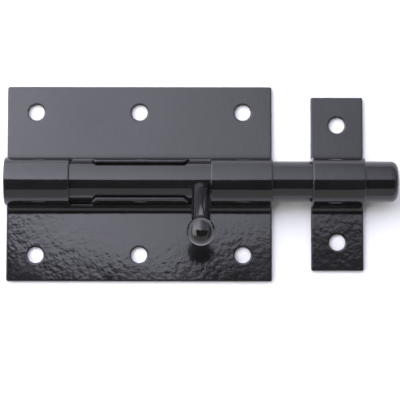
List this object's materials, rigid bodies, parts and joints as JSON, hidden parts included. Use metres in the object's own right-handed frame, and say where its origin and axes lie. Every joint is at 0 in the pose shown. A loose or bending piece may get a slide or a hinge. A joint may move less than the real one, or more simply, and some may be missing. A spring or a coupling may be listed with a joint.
{
  "type": "barrel bolt latch",
  "caption": "Round sliding bolt in a pressed back plate, locked by turning its ball-ended handle into a notch, with a separate strap keeper.",
  "frame": {"origin": "middle of the back plate's screw pattern, on its back face", "axes": "+X along the bolt towards its nose, +Y up the door, +Z out of the door towards the hand"},
  "size_m": [0.1541, 0.0772, 0.0537],
  "materials": {
    "sheet_paint": "gloss black paint with light orange peel on pressed steel",
    "bar_paint": "smooth gloss black paint on round steel bar"
  },
  "bodies": {
    "mounted_parts": {"back_plate": "sheet_paint", "keeper": "sheet_paint"},
    "sliding_bolt": {"bolt_rod": "bar_paint"},
    "turning_handle": {"handle": "bar_paint"}
  },
  "joints": [
    {"name": "bolt_slide", "type": "slide", "parent": "mounted_parts", "child": "sliding_bolt", "axis": [1, 0, 0], "range_m": [-0.0474, 0]},
    {"name": "handle_turn", "type": "hinge", "parent": "sliding_bolt", "child": "turning_handle", "pos_m": [0.0243, 0, 0.0085], "axis": [-1, 0, 0], "range_deg": [-60, 120]}
  ]
}
